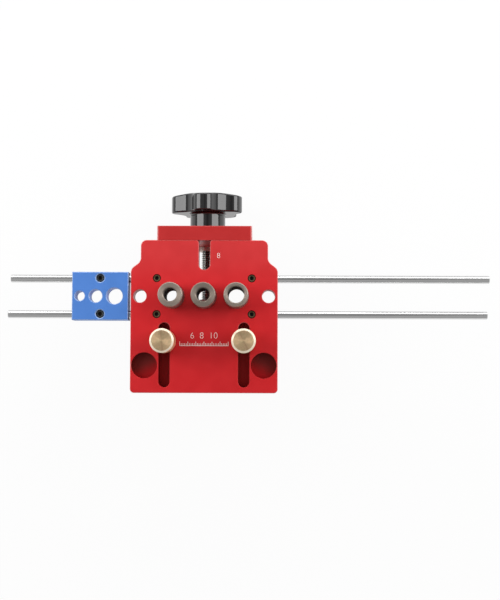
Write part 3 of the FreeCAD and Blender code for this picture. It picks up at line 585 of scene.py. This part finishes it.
def finish_mesh(name, bm, sharp=30):
    """Turns a bmesh into a mesh with clean faces, smooth up to the sharp angle."""
    bmesh.ops.remove_doubles(bm, verts=bm.verts, dist=1e-7)
    bmesh.ops.dissolve_degenerate(bm, edges=bm.edges, dist=1e-7)
    bmesh.ops.recalc_face_normals(bm, faces=bm.faces)
    mesh = bpy.data.meshes.new(name)
    bm.to_mesh(mesh)
    bm.free()
    for face in mesh.polygons:
        face.use_smooth = True
    mesh.set_sharp_from_angle(angle=math.radians(sharp))
    return mesh


def add_lathe(bm, profile, sides, ripple=None):
    """Adds the round surface of a line of (radius, height) points."""
    rings = []
    for index, (radius, height) in enumerate(profile):
        if radius == 0:
            rings.append([bm.verts.new((0, 0, height))] * sides)
            continue
        ring = []
        for side in range(sides):
            angle = TURN * side / sides
            out = radius + (ripple(index, side) if ripple else 0)
            ring.append(bm.verts.new((out * math.cos(angle), out * math.sin(angle), height)))
        rings.append(ring)
    for low, high in zip(rings, rings[1:]):
        for side in range(sides):
            after = (side + 1) % sides
            corners = [low[side], low[after], high[after], high[side]]
            corners = list(dict.fromkeys(corners))
            if len(corners) > 2:
                bm.faces.new(corners)


def thread_root(radius, pitch):
    return radius - THREAD_DEPTH * pitch


def add_thread(bm, radius, pitch, low, high, sides):
    """Adds a right-handed screw thread that runs out at both ends, where it is left open."""
    root = thread_root(radius, pitch)
    crest, flank_end = 1 / 16, 3 / 8  # shares of the pitch, from the middle of a crest
    outline = [(crest, radius), (flank_end, root), (1 - flank_end, root), (1 - crest, radius)]
    start = low - 2 * pitch
    turns = int(math.ceil((high - start) / pitch)) + 1

    def vertex(side, row):
        whole, index = divmod(row, len(outline))
        share, out = outline[index]
        height = start + pitch * (whole + share + side / sides)
        room = min(height - low, high - height)
        out = min(out, root + max(0.0, room))
        height = min(max(height, low), high)
        angle = TURN * side / sides
        return bm.verts.new((out * math.cos(angle), out * math.sin(angle), height))

    rows = turns * len(outline)
    grid = [[vertex(side, row) for row in range(rows)] for side in range(sides)]
    for side in range(sides):
        shift = len(outline) if side == sides - 1 else 0
        for row in range(rows - 1 - shift):
            after = grid[(side + 1) % sides]
            bm.faces.new(
                (grid[side][row], after[row + shift], after[row + shift + 1], grid[side][row + 1])
            )


def lathe_side(radius, low, high, rows):
    """Points up a cylinder, from low to high."""
    return [(radius, low + (high - low) * row / rows) for row in range(rows + 1)]


def add_box(bm, low, high):
    """Adds a plain block between two corners."""
    middle = [(a + b) / 2 for a, b in zip(low, high)]
    size = [b - a for a, b in zip(low, high)]
    matrix = Matrix.Translation(middle) @ Matrix.Diagonal((*size, 1))
    bmesh.ops.create_cube(bm, size=1.0, matrix=matrix)


# ---------------------------------------------------------------- pieces made here


def measure_upright(node):
    """Radius and height of an upright round node, and what puts a mesh on its foot."""
    low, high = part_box(node)
    centre = (low + high) / 2
    foot = Matrix.Translation((centre.x, centre.y, low.z))
    return (high.x - low.x) / 2, high.z - low.z, foot


def make_clamp_screw(finish):
    """M8 thread from the pad's shoulder into the knob, with the turned tip and its groove."""
    low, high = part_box("clamp_screw")
    radius = (high.x - low.x) / 2
    root = thread_root(radius, CLAMP_PITCH)
    axis_height = (high.z + low.z) / 2
    length = high.y - low.y
    pad_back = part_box("clamp_pad")[1].y
    play = 0.05 * MM
    shoulder = pad_back + play - low.y
    clip_low, clip_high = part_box("pad_retaining_clip")
    groove_low, groove_high = clip_low.y - low.y, clip_high.y - low.y
    tip, groove, edge = 2.5 * MM, 2.0 * MM, 0.3 * MM
    sides = 48
    bm = bmesh.new()
    add_thread(bm, radius, CLAMP_PITCH, shoulder, length, sides)
    tip_points = [
        (0, 0),
        (tip - edge, 0),
        (tip, edge),
        (tip, groove_low),
        (groove, groove_low),
        (groove, groove_high),
        (tip, groove_high),
        (tip, shoulder),
        (root, shoulder),
    ]
    add_lathe(bm, tip_points, sides)
    add_lathe(bm, [(root, length), (0, length)], sides)
    matrix = Matrix.Translation((0, low.y, axis_height)) @ ALONG_Y
    name = "clamp_screw_thread"
    piece = add_piece(name, finish_mesh(name, bm), matrix, "screw", "zinc_steel", "clamp_screw")
    dress(finish, piece)


def make_stud(side, finish):
    """M6 thread of a thumb screw."""
    node, body = f"thumb_screw_stud_{side}", f"{side}_thumb_screw"
    radius, length, foot = measure_upright(node)
    root = thread_root(radius, STUD_PITCH)
    sides = 36
    bm = bmesh.new()
    add_thread(bm, radius, STUD_PITCH, 0, length, sides)
    add_lathe(bm, [(0, 0), (root, 0)], sides)
    add_lathe(bm, [(root, length), (0, length)], sides)
    name = f"stud_thread_{side}"
    piece = add_piece(name, finish_mesh(name, bm), foot, body, "zinc_steel", node)
    dress(finish, piece)


def make_grub_screw(node, body, turn, finish):
    """M5 set screw with its thread, the flat ring at its top and a hexagonal socket."""
    radius, height, foot = measure_upright(node)
    root = thread_root(radius, GRUB_PITCH)
    across, socket_depth, drill_point, lead = 2.5 * MM, 2.2 * MM, 0.3 * MM, 0.12 * MM
    apothem = across / 2
    sides = 48
    sixth = TURN / 6

    def hexagon(index, side):
        """What a corner stands further out than the middle of a flat, for the socket's rings."""
        if index not in (2, 3):
            return 0.0
        angle = (TURN * side / sides) % sixth - sixth / 2
        return apothem / math.cos(angle) - apothem

    bm = bmesh.new()
    add_thread(bm, radius, GRUB_PITCH, 0, height, sides)
    add_lathe(bm, [(0, 0), (root, 0)], sides)
    corner = apothem / math.cos(sixth / 2) + lead
    floor = height - socket_depth
    socket = [
        (root, height),
        (corner, height),
        (apothem, height - lead),
        (apothem, floor),
        (0, floor - drill_point),
    ]
    add_lathe(bm, socket, sides, hexagon)
    matrix = foot @ Matrix.Rotation(turn, 4, "Z")
    name = node.replace("lock_screw", "grub_screw")
    piece = add_piece(name, finish_mesh(name, bm), matrix, body, "black_steel", node)
    dress(finish, piece)


def make_thumb_head(side, turn, finish):
    """Brass head with a diamond knurl between two plain bands."""
    node, body = f"thumb_screw_head_{side}", f"{side}_thumb_screw"
    radius, height, foot_place = measure_upright(node)
    teeth, samples = 54, 4  # samples of each tooth, round the head and up its side
    sides = teeth * samples
    pitch = TURN * radius / teeth
    band_low, band_high = 1.6 * MM, height - 2.4 * MM
    rows = int((band_high - band_low) / pitch) * samples
    depth = 0.28 * MM
    foot, chamfer = 0.6 * MM, 1.2 * MM
    bore, bore_end = 3.01 * MM, 10.01 * MM
    side_points = lathe_side(radius, band_low, band_high, rows)
    head = [(0, bore_end), (bore, bore_end), (bore, 0), (radius - foot, 0), (radius, foot)]
    first = len(head)
    top = [(radius, height - chamfer), (radius - chamfer, height), (0, height)]

    def wave(step):
        share = (step / samples) % 1.0
        return abs(2 * share - 1)

    def knurl(index, side_index):
        row = index - first
        if not 0 < row < rows:
            return 0.0
        peak = min(wave(side_index + row), wave(side_index - row))
        return -depth * (1 - peak)

    bm = bmesh.new()
    add_lathe(bm, head + side_points + top, sides, knurl)
    matrix = foot_place @ Matrix.Rotation(turn, 4, "Z")
    name = f"knurled_head_{side}"
    mesh = finish_mesh(name, bm, sharp=25)
    piece = add_piece(name, mesh, matrix, body, "brass", node)
    dress(finish, piece)


def make_text(name, text, place, height, finish):
    """Plain digits lying on the guide plate, a little thinner than the font draws them."""
    digit_share = 0.72  # height of a digit over the size of the font
    curve = bpy.data.curves.new(name, "FONT")
    curve.body = text
    curve.size = height / digit_share
    curve.align_x, curve.align_y = "CENTER", "CENTER"
    curve.extrude = 0.01 * MM
    curve.offset = -0.035 * height
    made = bpy.data.objects.new(name, curve)
    bpy.context.scene.collection.objects.link(made)
    bpy.context.view_layer.update()
    mesh = bpy.data.meshes.new_from_object(made)
    bpy.data.objects.remove(made)
    piece = add_piece(name, mesh, Matrix.Translation(place), "frame", "red_aluminium")
    dress(finish, piece)


def make_markings(finish):
    """Generic marks in white ink: the drill sizes and a plain millimetre scale."""
    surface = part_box("guide_plate")[1].z
    top = surface + 0.012 * MM
    make_text("mark_drill_size", "8", (8.8 * MM, 25.2 * MM, top), 3.5 * MM, finish)
    make_text("mark_hole_sizes", "6  8  10", (0, -24.6 * MM, top), 4.0 * MM, finish)
    bm = bmesh.new()
    half, line, base = 15, 0.28 * MM, -30.6 * MM  # half counts the marks to either side
    long_mark, short_mark = 2.4 * MM, 1.4 * MM
    low, high = surface + 0.002 * MM, surface + 0.022 * MM
    for tick in range(-half, half + 1):
        length = long_mark if tick % 5 == 0 else short_mark
        x = tick * MM
        add_box(bm, (x - line / 2, base, low), (x + line / 2, base + length, high))
    end = half * MM + line / 2
    add_box(bm, (-end, base - line, low), (end, base, high))
    mesh = bpy.data.meshes.new("mark_scale")
    bm.to_mesh(mesh)
    bm.free()
    piece = add_piece("mark_scale", mesh, Matrix.Identity(4), "frame", "red_aluminium")
    dress(finish, piece)


# ---------------------------------------------------------------- the whole jig


def dress_plates():
    dress(make_plate_finish(), "guide_plate")
    red = make_anodised("red_anodised", (0.52, 0.012, 0.012), (0.70, 0.16, 0.15))
    dress(red, "fence_slide_plate", "fence_face_plate")
    bar_red, bar_edge = (0.55, 0.026, 0.026), (0.88, 0.55, 0.53)
    bar = make_anodised("red_anodised_bar", bar_red, bar_edge, edge_share=bar_ends)
    dress(bar, "rear_clamp_plate")
    blue = make_anodised("blue_anodised", (0.09, 0.25, 0.70), (0.50, 0.65, 0.90))
    dress(blue, "stop_block")


def dress_steel():
    # The centre bush gets a darker copy of the steel: painted shade.
    steel, painted_shade_steel = (0.47, 0.39, 0.33), (0.37, 0.31, 0.26)
    for name, x, bore, colour in (
        ("bush_left_8mm", -20 * MM, 4.0 * MM, steel),
        ("bush_centre_8mm", 0, 4.0 * MM, painted_shade_steel),
        ("bush_right_10mm", 20 * MM, 5.0 * MM, steel),
    ):
        dress(make_bush_finish(name, x, bore, colour), name)
    dress(make_drawn("bright_rod", (0.74, 0.74, 0.74), 0.12), "guide_rod_rear", "guide_rod_front")
    black = make_black_oxide("black_oxide")
    dress(black, *[name for name in nodes if "rear_plate_screw" in name])
    dress(black, *[name for name in nodes if "fence_face_screw" in name])
    pad_metal = make_turned("turned_aluminium", (0.72, 0.72, 0.73), CLAMP_AXIS, "Y", 0.3)
    dress(pad_metal, "clamp_pad")
    insert_metal = make_turned("insert_steel", (0.80, 0.66, 0.58), CLAMP_AXIS, "Y", 0.5)
    dress(insert_metal, "threaded_insert", "pad_retaining_clip")


def make_grub_screws():
    _, height, _ = measure_upright("rod_lock_screw_rear_left")
    # The top ring colours are painted reflections of the plate and of the block, with some wear.
    finishes = {
        "frame": make_grub_finish("black_oxide_grub_plate", height, (0.13, 0.085, 0.040)),
        "stop": make_grub_finish("black_oxide_grub_block", height, (0.040, 0.048, 0.050)),
    }
    turns = {
        "rod_lock_screw_rear_left": 8,
        "rod_lock_screw_rear_right": 37,
        "rod_lock_screw_front_left": 52,
        "rod_lock_screw_front_right": 21,
        "block_lock_screw_rear": 14,
        "block_lock_screw_front": 44,
    }
    for node, degrees in turns.items():
        body = "stop" if node.startswith("block") else "frame"
        make_grub_screw(node, body, math.radians(degrees), finishes[body])


def make_thumb_screws(zinc):
    _, height, _ = measure_upright("thumb_screw_head_left")
    brass = make_brass(height)
    for side, degrees in (("left", -20), ("right", 0)):
        make_stud(side, zinc)
        make_thumb_head(side, math.radians(degrees), brass)
        washer = f"thumb_screw_washer_{side}"
        low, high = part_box(washer)
        middle = tuple((low + high) / 2)
        dress(make_turned(washer + "_zinc", (0.6, 0.6, 0.57), middle, "Z", 0.3), washer)


def main():
    make_studio()
    dress_plates()
    dress_steel()
    dress(make_moulded("moulded_black"), "star_knob")
    make_clamp_screw(make_thread_metal("zinc_m8_thread", 4 * MM, CLAMP_PITCH))
    make_grub_screws()
    make_thumb_screws(make_thread_metal("zinc_m6_thread", 3 * MM, STUD_PITCH))
    make_markings(make_print())


main()
